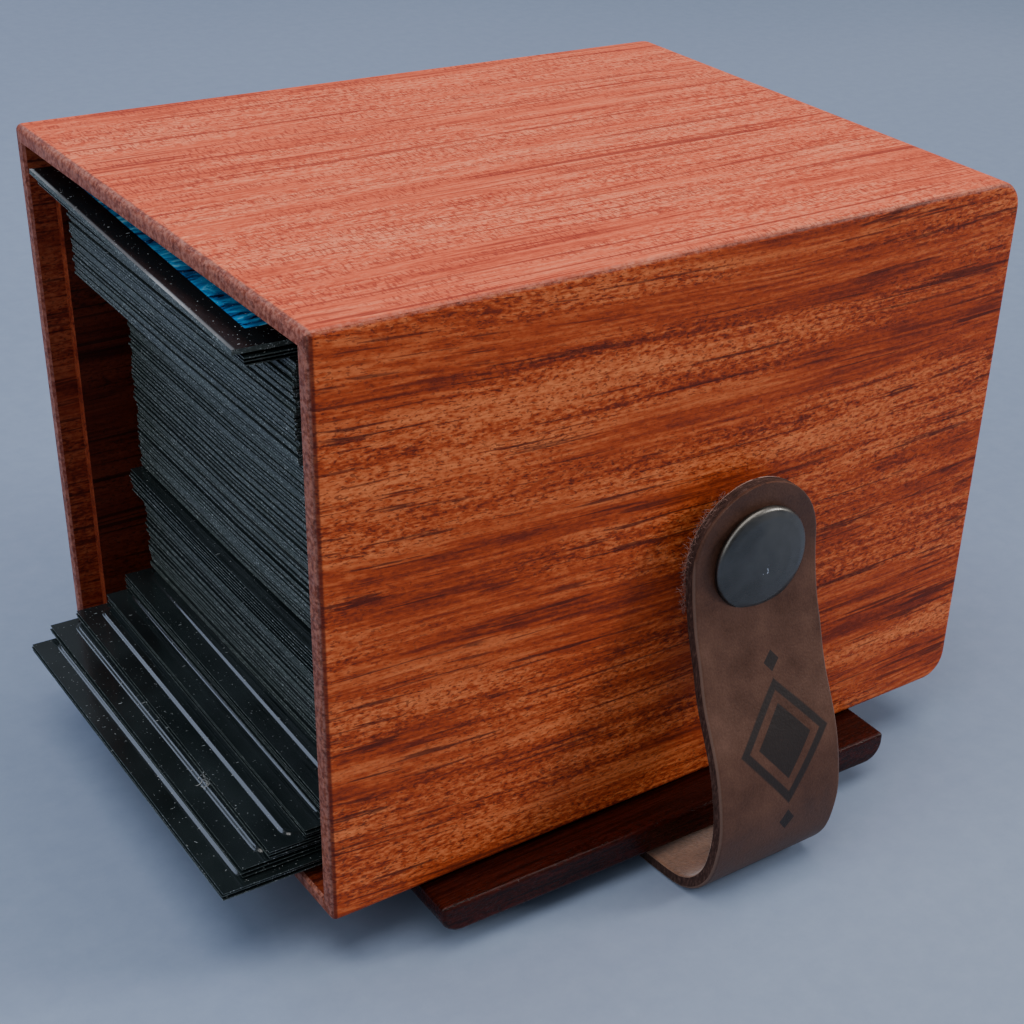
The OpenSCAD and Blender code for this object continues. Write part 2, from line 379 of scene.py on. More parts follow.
def leather():
    """Waxed grain side of the strap, with the maker's plain diamond mark."""
    s = Finish("waxed_leather", {"Roughness": 0.5, "Specular IOR Level": 0.22, "Sheen Weight": 0.02,
                                 "Sheen Roughness": 0.5})
    place = s.place()
    flat = s.flat_map("strap_map")
    from_middle, along, _ = s.parts(flat)
    across = s.minus(from_middle, MARK_SHIFT)
    mottle = s.noise(place, (160, 160, 160), detail=3, rough=0.6)
    grain = s.cells(place, (2300, 2300, 2300))
    pits = s.noise(place, (3600, 3600, 3600), detail=2, rough=0.6)
    colour = s.ramp(s.plus(mottle, s.times(s.minus(pits, 0.5), 0.55)),
                    [(0.22, (0.048, 0.019, 0.011)), (0.50, (0.078, 0.033, 0.020)),
                     (0.84, (0.115, 0.053, 0.034))])

    # a diamond in a diamond ring, with a small one above and below, in dark ink
    def diamond(mid, half_width, half_height):
        a = s.math("DIVIDE", s.math("ABSOLUTE", across), half_width)
        b = s.math("DIVIDE", s.math("ABSOLUTE", s.minus(along, mid)), half_height)
        return s.between(s.plus(a, b), 1.03, 0.97)

    ring = s.minus(diamond(MARK_MIDDLE, 0.076, 0.086), diamond(MARK_MIDDLE, 0.061, 0.069))
    ink = s.plus(ring, diamond(MARK_MIDDLE, 0.045, 0.051), clamp=True)
    lower, upper = (diamond(MARK_MIDDLE + gap, 0.013, 0.015) for gap in (0.11, -0.11))
    small = s.plus(lower, upper, clamp=True)
    ink = s.plus(ink, small, clamp=True)
    ink = s.times(ink, s.between(pits, 0.25, 0.45, 0.72, 0.96))
    colour = s.mix(ink, colour, (0.016, 0.012, 0.011))
    rubbed = s.times(s.between(s.math("ABSOLUTE", from_middle), 0.1015, 0.1040), 0.4)
    colour = s.mix(rubbed, colour, (0.20, 0.135, 0.105))
    s.feed("Base Color", colour)
    s.feed("Roughness", s.between(mottle, 0.3, 0.7, 0.42, 0.6))
    s.bump(s.plus(s.times(grain, 0.6), pits), 0.25, 0.1 * MM)
    return s.material


def suede():
    """Tan flesh side of the strap."""
    s = Finish("suede_flesh_side", {"Roughness": 0.95, "Specular IOR Level": 0.2, "Sheen Weight": 0.5,
                                    "Sheen Roughness": 0.6})
    place = s.place()
    nap = s.noise(place, (1500, 1500, 1500), detail=4, rough=0.7)
    cloud = s.noise(place, (140, 140, 140), detail=2)
    colour = s.ramp(s.plus(s.times(nap, 0.6), s.times(cloud, 0.4)),
                    [(0.34, (0.12, 0.048, 0.022)), (0.64, (0.31, 0.140, 0.072))])
    s.feed("Base Color", colour)
    s.bump(nap, 0.6, 0.25 * MM)
    return s.material


def cut_edge():
    """Raw cut edge of the leather, layered along its length."""
    s = Finish("raw_leather_edge", {"Roughness": 0.9, "Specular IOR Level": 0.2})
    place = s.place()
    fibre = s.noise(place, (900, 2600, 900), detail=4, rough=0.7)
    colour = s.ramp(fibre, [(0.33, (0.022, 0.010, 0.008)), (0.55, (0.055, 0.027, 0.021)),
                            (0.78, (0.15, 0.085, 0.070))])
    s.feed("Base Color", colour)
    s.bump(fibre, 0.7, 0.3 * MM)
    return s.material


def gunmetal():
    """Black nickel plate, satin, with fine rubbing marks and a nick under the middle of the near cap."""
    s = Finish("black_nickel_plate", {"Metallic": 1.0})
    place = s.place()
    rub = s.noise(place, (420, 420, 2600), detail=3, rough=0.7)
    cloud = s.noise(place, (220, 220, 220), detail=2)
    px, _, pz = s.parts(place)
    away = s.plus(s.math("ABSOLUTE", s.minus(px, STUD.x)),
                  s.math("ABSOLUTE", s.minus(pz, STUD.z - 1.5 * MM)))
    nicks = s.times(s.between(s.noise(place, (1900, 300, 1500), detail=1), 0.66, 0.70),
                   s.between(away, 1.5 * MM, 0.9 * MM))
    colour = s.ramp(cloud, [(0.3, (0.092, 0.087, 0.079)), (0.7, (0.135, 0.128, 0.116))])
    s.feed("Base Color", s.mix(nicks, colour, (0.62, 0.63, 0.64)))
    satin = s.plus(s.times(rub, 0.5), s.times(cloud, 0.5))
    s.feed("Roughness", s.between(satin, 0.35, 0.65, 0.26, 0.40))
    s.bump(rub, 0.05, 0.03 * MM)
    return s.material


def dust_on(s, place):
    """Share of the surface under dust specks and short hairs."""
    specks = s.between(s.noise(place, (3300, 3300, 1600), detail=1), 0.735, 0.775)
    hairs = s.between(s.noise(place, (900, 3900, 1400), detail=0), 0.85, 0.87)
    return s.math("MAXIMUM", specks, hairs)


def sleeve_film():
    """Black-backed glossy card sleeve with grey-green film edges."""
    s = Finish("black_sleeve_film", {"Specular IOR Level": 0.6})
    place = s.place()
    edge = s.between(s.math("ABSOLUTE", s.normal()[2]), 0.5, 0.25)
    streaks = s.noise(place, (60, 40, 2600), detail=2, rough=0.7)
    cloud = s.noise(place, (90, 90, 400), detail=2)
    film = s.ramp(cloud, [(0.3, (0.006, 0.009, 0.0095)), (0.7, (0.014, 0.020, 0.021))])
    rim = s.ramp(streaks, [(0.3, (0.008, 0.013, 0.011)), (0.7, (0.044, 0.062, 0.052))])
    grit = s.between(s.noise(place, (1500, 1500, 5200), detail=2, rough=0.7), 0.48, 0.70, 0.0, 0.8)
    rim = s.mix(grit, rim, (0.13, 0.155, 0.145))
    glint = s.between(s.noise(place, (5200, 5200, 5200), detail=0), 0.68, 0.76, 0.0, 0.8)
    rim = s.mix(glint, rim, (0.50, 0.54, 0.53))
    colour = s.mix(edge, film, rim)
    dust = dust_on(s, place)
    s.feed("Base Color", s.mix(s.times(dust, 0.6), colour, (0.50, 0.52, 0.52)))
    soft = s.times(s.math("MAXIMUM", dust, edge), 0.4)
    s.feed("Roughness", s.plus(s.between(cloud, 0.3, 0.7, 0.10, 0.20), soft))
    s.bump(s.noise(place, (160, 70, 160), detail=2), 0.12, 0.2 * MM)
    return s.material


def printed_face():
    """Card face under clear film: a black border round an abstract blue print."""
    s = Finish("blue_print_card", {"Specular IOR Level": 0.2, "Coat Weight": 0.1, "Coat Roughness": 0.08})
    place = s.place()
    along, across, _ = s.parts(s.flat_map("card_map"))
    swirl = s.noise(place, (120, 260, 120), detail=5, rough=0.65, warp=1.8)
    art = s.ramp(swirl, [(0.36, (0.003, 0.010, 0.040)), (0.44, (0.004, 0.120, 0.340)),
                         (0.53, (0.010, 0.330, 0.680)), (0.62, (0.240, 0.680, 0.900))])
    inside = s.times(s.between(s.math("ABSOLUTE", across), 0.283, 0.280),
                    s.times(s.between(along, 0.035, 0.037), s.between(along, 0.875, 0.872)))
    colour = s.mix(inside, (0.004, 0.005, 0.006), art)
    cloud = s.noise(place, (40, 40, 40), detail=2)
    # pale grey band along the card's front edge, patchy with the cloud
    pale_front_edge = s.times(s.between(along, 0.006, 0.002), s.between(cloud, 0.4, 0.6, 0.3, 0.8))
    colour = s.mix(pale_front_edge, colour, (0.36, 0.39, 0.42))
    dust = dust_on(s, place)
    s.feed("Base Color", s.mix(s.times(dust, 0.6), colour, (0.55, 0.56, 0.56)))
    s.feed("Roughness", s.plus(0.2, s.times(dust, 0.5)))
    return s.material


def table_top():
    """Pale blue-grey table with a very fine mottle."""
    s = Finish("pale_table", {"Roughness": 0.6, "Specular IOR Level": 0.3})
    place = s.place()
    cloud = s.noise(place, (3, 3, 3), detail=2)
    mottle = s.noise(place, (260, 260, 260), detail=4, rough=0.7)
    tone = s.plus(s.times(cloud, 0.6), s.times(mottle, 0.4))
    s.feed("Base Color", s.ramp(tone, [(0.3, (0.190, 0.243, 0.353)), (0.7, (0.245, 0.304, 0.424))]))
    return s.material


FINISH = {"film": sleeve_film(), "print": printed_face(), "metal": gunmetal(), "leather": leather(),
          "suede": suede(), "cut_edge": cut_edge()}

# ---------------------------------------------------------------- case


def case_block():
    """Outside of the case as a solid block."""
    block = brick("case_block", CASE_LOW, CASE_HIGH)

    def rounds(bm):
        ends = [e for e in bm.edges if all(v.co.x > 0 for v in e.verts)
                and abs(e.verts[0].co.z - e.verts[1].co.z) < EASE]
        bmesh.ops.bevel(bm, geom=ends, offset=END_ROUND, segments=10, profile=0.5, affect="EDGES")
        rest = [e for e in bm.edges if e.calc_face_angle() > math.radians(60)]
        bmesh.ops.bevel(bm, geom=rest, offset=EASE, segments=5, profile=0.5, affect="EDGES")

    return edit(block, rounds)


def hollow():
    """Inside of the case, with the lid's seat at the open end and its lip just broken."""
    broken = 0.35 * MM
    beyond = 1 * MM
    seat_x = CASE_LOW.x + SEAT_DEPTH
    rings = []
    for x, inset in ((CASE_LOW.x - beyond, RIM - broken - beyond), (CASE_LOW.x + broken, RIM),
                     (seat_x, RIM), (seat_x, WALL), (CASE_HIGH.x - WALL, WALL)):
        rings.append((x, CASE_HIGH.y - inset, CASE_LOW.z + inset, CASE_HIGH.z - inset))
    return rectangle_loft("hollow", rings)


def stud_bore(side):
    """Stepped bore for a press stud and its rivet."""
    pocket, through, counterbore = 5.6 * MM, 2 * MM, 4.6 * MM
    beyond, floor, inner_floor = 1 * MM, -1.1 * MM, 0.9 * MM - WALL
    steps = [(0, beyond), (pocket, beyond), (pocket, floor), (through, floor), (through, inner_floor),
             (counterbore, inner_floor), (counterbore, -WALL - beyond), (0, -WALL - beyond)]
    return turned("stud_bore", steps, side, turns=64)


def panel_wedge(name):
    """What one mitred panel takes of the case: a slab that narrows inwards at 45 degrees."""
    out, deep = 1 * MM, WALL + 1 * MM
    low, high = CASE_LOW, CASE_HIGH

    def corner(depth, x_side, y_side, z_side):
        """Corner of the case, moved in by depth and held back by the hairline."""
        inset = depth + HAIRLINE
        x = high.x - inset if x_side > 0 else low.x - out
        y = high.y - inset if y_side > 0 else low.y + inset
        z = high.z - inset if z_side > 0 else low.z + inset
        return Vector((x, y, z))

    axis, side = {"near_wall": (1, -1), "far_wall": (1, 1), "top_panel": (2, 1), "bottom_panel": (2, -1),
                  "end_panel": (0, 1)}[name]
    points = []
    for depth in (-out, deep):
        for a, b in ((-1, -1), (1, -1), (1, 1), (-1, 1)):
            signs = [a, b]
            signs.insert(axis, side)
            p = corner(depth, *signs)
            if axis == 0:
                inset = depth + HAIRLINE
                p.y = math.copysign(high.y - inset, a)
                p.x = high.x - depth
            else:
                p[axis] = (high[axis] - depth) if side > 0 else (low[axis] + depth)
            points.append(p)
    faces = [(0, 1, 2, 3), (7, 6, 5, 4)] + [(i, i + 4, (i + 1) % 4 + 4, (i + 1) % 4) for i in range(4)]
    return outward(new_piece("wedge", points, faces))


def make_case():
    shell = carve(case_block(), hollow())
    for side in (-1, 1):
        carve(shell, stud_bore(side))
    woods = {
        "near_wall": rosewood("near_wall_wood", RED_WOOD, turn=(0, -1, 0), shift=(0, 0.2, 0.137),
                              contrast=1.15, arch=0.6),
        "far_wall": rosewood("far_wall_wood", RED_WOOD, turn=(0, -3, 0), shift=(0.77, 0.42, 0.21)),
        # painted light: the top panel takes the paler, pinker top palette
        "top_panel": rosewood("top_panel_wood", TOP_WOOD_PAINTED_LIGHT, shift=(0.13, 0.37, 0.55), pores=0.4, ticks=0.62,
                              contrast=0.7),
        "bottom_panel": rosewood("bottom_panel_wood", RED_WOOD, turn=(0, 0, 2), shift=(1.1, 0.9, 0.3)),
        "end_panel": rosewood("end_panel_wood", RED_WOOD, turn=(0, 0, 90), shift=(0.5, 1.3, 0.8)),
    }
    # painted shade: the seat and the inside of the case take darker copies of the red wood
    seat = rosewood("seat_wood", SEAT_WOOD_PAINTED_SHADE, shift=(0.6, 0.3, 0.4), wear_sheen_and_shade=False)
    inner = rosewood("inner_wood", INNER_WOOD_PAINTED_SHADE, shift=(0.2, 0.6, 0.9), wear_sheen_and_shade=False)
    for name in PANELS:
        panel = bpy.data.objects.new(name + "_board", shell.data.copy())
        bpy.context.scene.collection.objects.link(panel)
        carve(panel, panel_wedge(name), keep_common=True)
        panel.data.materials.clear()
        panel.data.materials.append(woods[name])
        panel.data.materials.append(seat)
        panel.data.materials.append(inner)
        shade(panel)
        # painted shade: faces set in further than the rim take the darker seat copy, and faces set in
        # further than the wall the darkest inner copy
        for face in panel.data.polygons:
            from_low = [face.center[i] - CASE_LOW[i] for i in (1, 2)]
            from_high = [CASE_HIGH[i] - face.center[i] for i in range(3)]
            depth = min(from_low + from_high) + 0.1 * MM
            face.material_index = int(depth > RIM) + int(depth > WALL)
        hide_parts(name)
        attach(panel, "case")
    bpy.data.objects.remove(shell)


make_case()

# ---------------------------------------------------------------- lid plate

LID_SIZE = Vector((75.4, 73.4, 4.5)) * MM
LID_SKEW = -1.3             # degrees
LID_ROUND = 3 * MM
LID_EASE = 0.6 * MM


def make_lid():
    """Loose lid, stored with its outer face down. Its two ends are rounded on the outer face."""
    half = LID_SIZE / 2
    lid = brick("lid_board", -half, half)

    def rounds(bm):
        ends = [e for e in bm.edges if all(v.co.z < 0 for v in e.verts)
                and abs(e.verts[0].co.y - e.verts[1].co.y) > half.y]
        bmesh.ops.bevel(bm, geom=ends, offset=LID_ROUND, segments=8, profile=0.5, affect="EDGES")
        rest = [e for e in bm.edges if e.calc_face_angle() > math.radians(60)]
        bmesh.ops.bevel(bm, geom=rest, offset=LID_EASE, segments=4, profile=0.5, affect="EDGES")

    edit(lid, rounds)
    askew = Matrix.Rotation(math.radians(LID_SKEW), 4, "Z")
    lid.data.transform(Matrix.Translation(centre("lid_plate")) @ askew)
    # painted shade: the lid takes the near-black copy of the red wood
    lid.data.materials.append(rosewood("lid_wood", LID_WOOD_PAINTED_SHADE, shift=(0.9, 0.1, 0.6), pores=0.4, gloss=0.25,
                                       wear_sheen_and_shade=False))
    shade(lid)
    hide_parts("lid_plate")
    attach(lid, "lid")


make_lid()

# ---------------------------------------------------------------- press studs

STANDOFF = 2.1 * MM         # leather's back to the case
LEATHER_T = 2.6 * MM


def stud_profiles():
    """(radius, distance out from the case's face) of each turned piece, and the body that it rides."""
    front = STANDOFF + LEATHER_T
    inside = -WALL
    cap = [(0, 0), (7.0, 0.02), (7.48, 0.4), (7.5, 0.9), (7.2, 1.3), (6.2, 1.62), (4.2, 1.95), (2.0, 2.14),
           (0, 2.2)]
    socket = [(0, 1.52), (2.55, 1.52), (2.65, 0.1), (4.6, 0.1), (4.9, 0.9), (6.0, 1.2), (6.0, 2.05),
              (0, 2.05)]
    stud = [(0, -1.04), (5.5, -1.04), (5.5, -0.04), (2.45, -0.04), (2.2, 0.5), (2.55, 1.0), (1.9, 1.38),
            (0, 1.4)]
    shank = [(0, -1.06), (1.9, -1.06)]
    head = [(1.95, 0.9), (4.5, 0.85), (4.5, 0.3), (4.0, 0.06), (1.6, 0.06), (1.3, 0.4), (0, 0.45)]

    def scaled(profile, start=0.0):
        return [(r * MM, start + out * MM) for r, out in profile]

    rivet = scaled(shank) + scaled(head, inside)
    return {"snap_cap": (scaled(cap, front), "strap"), "snap_socket": (scaled(socket), "strap"),
            "snap_stud": (scaled(stud), "case"), "snap_rivet": (rivet, "case")}


def make_studs():
    profiles = stud_profiles()
    for side, word in ((-1, "near"), (1, "far")):
        for name, (profile, body) in profiles.items():
            piece = turned(f"{name}_{word}_turned", softened(profile, 0.25 * MM), side)
            piece.data.materials.append(FINISH["metal"])
            shade(piece, 50)
            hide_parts(f"{name}_{word}")
            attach(piece, body)


make_studs()

# ---------------------------------------------------------------- strap

STRAP_HALF = 10.5 * MM


def smooth_path(points, per_stretch):
    """Points along a smooth curve through the given ones."""
    made = []
    ends = [points[0] * 2 - points[1]] + points + [points[-1] * 2 - points[-2]]
    for before, start, end, after in zip(ends, ends[1:], ends[2:], ends[3:]):
        for i in range(per_stretch):
            t = i / per_stretch
            made.append(0.5 * ((2 * start) + (end - before) * t
                               + (2 * before - 5 * start + 4 * end - after) * t * t
                               + (3 * start - before - 3 * end + after) * t ** 3))
    return made + [points[-1]]


SHAVED = 0.7 * MM           # the leather is that much thinner than its room, on the flesh side
EDGE_WEAR = {1: 0.38, 0.99: 0.12, 0.975: 0.02}     # mm sunk, by the share of the half width
LANES = (-1, -0.99, -0.975, -0.95, -0.6, -0.3, 0, 0.3, 0.6, 0.95, 0.975, 0.99, 1)
TIP_ANGLES = (2.5, 5, 8, 12, 17, 23, 30, 38, 46, 54, 62, 70, 80, 90)
STATION_STEP = 0.7 * MM


def strap_line():
    """Middle line of the leather from the near stud under the case to the far one, in (x, y, z)."""
    face, up = CASE_HIGH.y, CASE_LOW.z
    tab = face + STANDOFF + LEATHER_T / 2
    flat = LEATHER_T / 2
    # (out mm, height, sideways mm) from the top of the tab down to the flat run; it leans to the open end
    shape = [(0, STUD.z + STRAP_HALF, 0), (0, STUD.z, 0), (1.6, STUD.z - 7 * MM, -0.4),
             (3.7, up + 25 * MM, -0.8), (6.1, up + 20 * MM, -1.4), (10.2, up + 12.4 * MM, -1.9),
             (12.3, up + 5.4 * MM, -2.3), (12.35, up + 0.6 * MM, -2.6), (11.3, up - 3.4 * MM, -2.9),
             (8.6, flat + 0.8 * MM, -3.3), (4.2, flat, -3.7), (-8, flat, -4.2), (-tab / MM, flat, -4.3)]
    near = [Vector((STUD.x + lean * MM, -tab - out * MM, z)) for out, z, lean in shape]
    far = [Vector((p.x, -p.y, p.z)) for p in reversed(near[:-1])]
    line = smooth_path(near + far, 10)
    for p in line:
        p.z = max(p.z, flat)
    return line


def make_strap():
    line = strap_line()
    lengths = [0.0]
    for a, b in zip(line, line[1:]):
        lengths.append(lengths[-1] + (b - a).length)
    total = lengths[-1]

    def at(s):
        """Point and outward normal at distance s along the strap."""
        s = min(max(s, 0.0), total)
        i = next(k for k in range(1, len(lengths)) if lengths[k] >= s - 1e-12)
        t = (s - lengths[i - 1]) / (lengths[i] - lengths[i - 1])
        before, after = line[max(i - 2, 0)], line[min(i + 1, len(line) - 1)]
        along = after - before
        return line[i - 1].lerp(line[i], t), Vector((0, -along.z, along.y)).normalized() * -1

    tip = [STRAP_HALF * (1 - math.cos(math.radians(a))) for a in TIP_ANGLES]
    middle = total - 2 * tip[-1]
    count = round(middle / STATION_STEP)
    stations = tip + [tip[-1] + middle * i / count for i in range(1, count)]
    stations += [total - s for s in reversed(tip)]
    points, flat_map = [], []
    for s in stations:
        to_end = min(s, total - s)
        half = STRAP_HALF
        if to_end < STRAP_HALF:
            half = math.sqrt(STRAP_HALF ** 2 - (STRAP_HALF - to_end) ** 2)
        mid, out = at(s)
        for face in (1, -1):
            for lane in LANES:
                sink = EDGE_WEAR[abs(lane)] * MM if abs(lane) in EDGE_WEAR else 0.0
                depth = LEATHER_T / 2 - sink if face > 0 else LEATHER_T / 2 - SHAVED - 0.5 * sink
                p = mid + out * face * depth + Vector((lane * half, 0, 0))
                points.append(p)
                flat_map.append((lane * half * 10, (to_end - STRAP_HALF) * 10))
    n = len(LANES)
    row = 2 * n
    faces, kinds = [], []
    for k in range(len(stations) - 1):
        a, b = k * row, (k + 1) * row
        for i in range(n - 1):
            faces.append((a + i, a + i + 1, b + i + 1, b + i))
            kinds.append(0)
            faces.append((a + n + i, b + n + i, b + n + i + 1, a + n + i + 1))
            kinds.append(1)
        for i in (0, n - 1):
            faces.append((a + i, b + i, b + n + i, a + n + i))
            kinds.append(2)
    for base in (0, (len(stations) - 1) * row):
        for i in range(n - 1):
            faces.append((base + i, base + i + 1, base + n + i + 1, base + n + i))
            kinds.append(2)
    strap = new_piece("strap_leather_band", points, faces)
    for finish in ("leather", "suede", "cut_edge"):
        strap.data.materials.append(FINISH[finish])
    strap.data.polygons.foreach_set("material_index", kinds)
    strap.data.uv_layers.new(name="strap_map")
    layer = strap.data.uv_layers["strap_map"].data
    for loop in strap.data.loops:
        layer[loop.index].uv = flat_map[loop.vertex_index]
    outward(strap)
    shade(strap, 40)
    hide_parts("strap")
    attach(strap, "strap")


make_strap()

# ---------------------------------------------------------------- sleeved cards

SLEEVE = Vector((91, 66)) * MM
CARD_LIP = 3 * MM           # empty film in front of the card
CARD_HALF = 31.5 * MM
CARD_CORNER = 1.7 * MM
FILM_T = 0.16 * MM          # two films together
STACK_FILM = 0.90           # share of a thick packet's pitch that its film edges fill
BOW = 0.5 * MM              # how far the middle of the heap hangs lower than its sides
PACKETS = {                 # turn in degrees and number of sleeves
    "fan_cards_1": (-1.3, 3), "fan_cards_2": (-1.5, 3), "fan_cards_3": (-1.8, 3), "fan_cards_4": (-1.7, 3),
    "fan_cards_5": (-1.9, 5), "lower_cards": (-0.8, 35), "stepped_cards": (-1.0, 8),
    "middle_cards": (-0.7, 78), "upper_cards": (-1.1, 32), "second_cards": (-2.6, 3), "top_card": (-3.0, 1)}
TIGHT_SLIPS = (0.25 * MM, 0.15 * MM, 0.0)       # forward, sideways and turn in radians
LOOSE_SLIPS = (0.5 * MM, 0.25 * MM, 0.003)
# where the sleeve's mesh has vertices, in mm: front, rear and right-hand edge, fine and plain. The rears
# stop short of the sleeve's length by about as much as the sleeves may slip.
FINE_FRONTS = (0, 0.6, 1.8, 2.65, 2.8, 2.95, 3.1, 3.25, 3.4, 3.6, 4.2, 5.2, 6.5)
FINE_REARS = (10, 30, 60, 84, 86.5, 88, 89.2, 90, 90.6)
FINE_RIGHTS = (0, 0.8, 1.15, 1.3, 1.45, 1.6, 1.75, 1.9, 2.1, 2.5, 3.0, 3.6, 4.3, 6, 12, 22, 33)
PLAIN_FRONTS = (0, 2.5, 3.5, 6)
PLAIN_REARS = (40, 88, 90.3)
PLAIN_RIGHTS = (0, 1.2, 1.9, 4, 33)


def sleeve(name, thick, fine, flat=False):
    """One sleeved card, its front edge on the Y axis: flat film all round, and the card raised in it."""
    xs = [v * MM for v in (FINE_FRONTS + FINE_REARS if fine else PLAIN_FRONTS + PLAIN_REARS)]
    rights = FINE_RIGHTS if fine else PLAIN_RIGHTS
    ys = [(v - 33) * MM for v in rights] + [(33 - v) * MM for v in reversed(rights[:-1])]

    film = FILM_T if fine else thick * STACK_FILM
    if flat:
        film = thick

    def rise(x, y):
        """How far the film is lifted by the card, from 0 to 1."""
        dx = max(CARD_LIP + CARD_CORNER - x, 0)
        dy = max(abs(y) - (CARD_HALF - CARD_CORNER), 0)
        inside = CARD_CORNER - math.hypot(dx, dy)
        if x > SLEEVE.x - 2 * MM:
            inside = min(inside, xs[-1] - x)
        t = min(max((inside + 0.2 * MM) / (0.45 * MM), 0), 1)
        return t * t * (3 - 2 * t)

    points = []
    for face in (1, -1):
        for x in xs:
            for y in ys:
                lift = (thick - film) * rise(x, y)
                if fine:
                    z = film + lift if face > 0 else 0
                else:
                    z = thick / 2 + face * (film + lift) / 2
                points.append((x, y, z))
    nx, ny = len(xs), len(ys)
    half = nx * ny
    faces = []
    for i in range(nx - 1):
        for j in range(ny - 1):
            a = i * ny + j
            faces.append((a, a + ny, a + ny + 1, a + 1))
            faces.append((half + a, half + a + 1, half + a + ny + 1, half + a + ny))
    for i in range(nx - 1):
        for j in (0, ny - 1):
            a = i * ny + j
            faces.append((a, a + ny, half + a + ny, half + a))
    for j in range(ny - 1):
        for i in (0, nx - 1):
            a = i * ny + j
            faces.append((a, a + 1, half + a + 1, half + a))
    made = outward(new_piece(name, points, faces))
    made.data.uv_layers.new(name="card_map")
    layer = made.data.uv_layers["card_map"].data
    for loop in made.data.loops:
        p = made.data.vertices[loop.vertex_index].co
        layer[loop.index].uv = (p.x * 10, p.y * 10)
    return made


def stack_tree():
    """Geometry Nodes tree that stacks copies of one sleeved card with small slips."""
    tree = bpy.data.node_groups.new("stack_of_sleeves", "GeometryNodeTree")
    face = tree.interface
    face.new_socket("Geometry", in_out="INPUT", socket_type="NodeSocketGeometry")
    for name, kind in (("Sleeve", "Object"), ("Count", "Int"), ("Pitch", "Float"), ("Front slip", "Float"),
                       ("Side slip", "Float"), ("Turn slip", "Float"), ("Seed", "Int"),
                       ("Finish", "Material")):
        face.new_socket(name, in_out="INPUT", socket_type="NodeSocket" + kind)
    face.new_socket("Geometry", in_out="OUTPUT", socket_type="NodeSocketGeometry")

    def node(kind, inputs, **settings):
        made = tree.nodes.new("GeometryNode" + kind if kind[0] != "!" else kind[1:])
        for key, value in settings.items():
            setattr(made, key, value)
        for key, value in inputs.items():
            if isinstance(value, bpy.types.NodeSocket):
                tree.links.new(value, made.inputs[key])
            else:
                made.inputs[key].default_value = value
        return made

    given = node("!NodeGroupInput", {}).outputs
    rise = node("!ShaderNodeCombineXYZ", {2: given["Pitch"]}).outputs[0]
    line = node("MeshLine", {"Count": given["Count"], "Offset": rise}, mode="OFFSET").outputs[0]

    def chance(low, high, extra):
        seed = node("!ShaderNodeMath", {0: given["Seed"], 1: extra}, operation="ADD").outputs[0]
        picked = node("!FunctionNodeRandomValue", {2: low, 3: high, "Seed": seed}, data_type="FLOAT")
        return picked.outputs[1]

    def either_way(limit, extra):
        negative = node("!ShaderNodeMath", {0: limit, 1: -1.0}, operation="MULTIPLY").outputs[0]
        return chance(negative, limit, extra)

    slip = node("!ShaderNodeCombineXYZ", {0: chance(0.0, given["Front slip"], 11.0),
                                          1: either_way(given["Side slip"], 23.0)}).outputs[0]
    moved = node("SetPosition", {"Geometry": line, "Offset": slip}).outputs[0]
    turn = node("!ShaderNodeCombineXYZ", {2: either_way(given["Turn slip"], 37.0)}).outputs[0]
    shape = node("ObjectInfo", {"Object": given["Sleeve"]}, transform_space="ORIGINAL").outputs["Geometry"]
    placed = node("InstanceOnPoints", {"Points": moved, "Instance": shape, "Rotation": turn}).outputs[0]
    real = node("RealizeInstances", {"Geometry": placed}).outputs[0]
    done = node("SetMaterial", {"Geometry": real, "Material": given["Finish"]}).outputs[0]
    node("!NodeGroupOutput", {0: done})
    return tree


def set_inputs(modifier, values):
    """Sets a Geometry Nodes modifier's inputs by their sockets' identifiers."""
    for item in modifier.node_group.interface.items_tree:
        if item.item_type == "SOCKET" and item.in_out == "INPUT" and item.name in values:
            modifier[item.identifier] = values[item.name]


def body_of(node):
    return next(b for b, nodes in frame["record"]["behaviour"]["bodies"].items() if node in nodes)


def make_packets():
    tree = stack_tree()
    heap_low, heap_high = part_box("lower_cards")[0].z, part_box("top_card")[1].z
    for number, (node, (turn, count)) in enumerate(PACKETS.items()):
        low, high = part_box(node)
        pitch = (high.z - low.z) / count
        single = sleeve("sleeve_for_" + node, pitch * 0.94, fine=count < 12, flat=count == 1)
        name = node.replace("cards", "sleeves").replace("top_card", "top_sleeve")
        packet = new_piece(name, [(0, 0, 0)], [])
        stack = packet.modifiers.new("stack", "NODES")
        stack.node_group = tree
        front_slip, side_slip, turn_slip = TIGHT_SLIPS if count < 6 else LOOSE_SLIPS
        set_inputs(stack, {"Sleeve": single, "Count": count, "Pitch": pitch, "Front slip": front_slip,
                           "Side slip": side_slip, "Turn slip": turn_slip, "Seed": number,
                           "Finish": FINISH["film"]})
        flatten(packet)
        bpy.data.objects.remove(single)
        heading = Matrix.Rotation(math.radians(turn), 4, "Z")
        middle = (low + high) / 2
        front = middle - heading @ Vector((SLEEVE.x / 2, 0, 0))
        packet.data.transform(Matrix.Translation((front.x, front.y, low.z)) @ heading)
        if low.z > heap_low - 0.1 * MM and "fan" not in node:
            for v in packet.data.vertices:
                share = min(max((v.co.z - heap_low) / (heap_high - heap_low), 0), 1)
                v.co.z -= BOW * math.sin(math.pi * share) * (1 - min(abs(v.co.y) / CARD_HALF, 1) ** 2)
        if node == "top_card":
            packet.data.materials.append(FINISH["print"])
            for face in packet.data.polygons:
                along = min(packet.data.uv_layers["card_map"].data[i].uv.x for i in face.loop_indices)
                face.material_index = 1 if face.normal.z > 0.3 and along > -1 else 0
        for face in packet.data.polygons:
            face.use_smooth = True
        shade(packet, 60)
        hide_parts(node)
        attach(packet, body_of(node))


make_packets()

# ---------------------------------------------------------------- loose fibres


